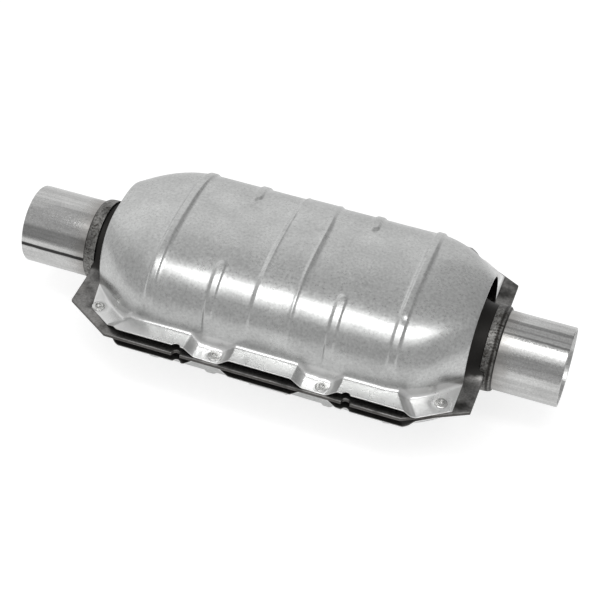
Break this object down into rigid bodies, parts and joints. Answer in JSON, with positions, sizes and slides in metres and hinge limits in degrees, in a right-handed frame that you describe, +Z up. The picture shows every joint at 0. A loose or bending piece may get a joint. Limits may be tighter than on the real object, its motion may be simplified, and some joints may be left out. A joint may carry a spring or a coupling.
{
  "type": "catalytic converter",
  "caption": "Oval exhaust catalytic converter with a flanged welded steel body, riveted ribbed heat shields above and below, and a round stub pipe at each end.",
  "frame": {"origin": "on the common axis of the stub pipes, halfway along the overall length, in the plane where the body halves meet", "axes": "+X along the pipes from inlet to outlet, +Z up, square to the flange"},
  "size_m": [0.402, 0.1774, 0.11],
  "materials": {
    "shield_steel": "satin",
    "body_steel": "satin",
    "pipe_steel": "satin",
    "weld_metal": "matte",
    "washcoated_ceramic": "matte",
    "mat_fibre": "matte",
    "seal_mesh": "matte",
    "rivet_steel": "satin"
  },
  "bodies": {
    "root": {"upper_heat_shield": "shield_steel", "lower_heat_shield": "shield_steel", "upper_body_shell": "body_steel", "lower_body_shell": "body_steel", "inlet_pipe": "pipe_steel", "outlet_pipe": "pipe_steel", "inlet_weld": "weld_metal", "outlet_weld": "weld_metal", "inlet_brick": "washcoated_ceramic", "outlet_brick": "washcoated_ceramic", "inlet_mat": "mat_fibre", "outlet_mat": "mat_fibre", "inlet_mat_seals": "seal_mesh", "outlet_mat_seals": "seal_mesh", "front_rivets": "rivet_steel", "rear_rivets": "rivet_steel"}
  },
  "joints": []
}
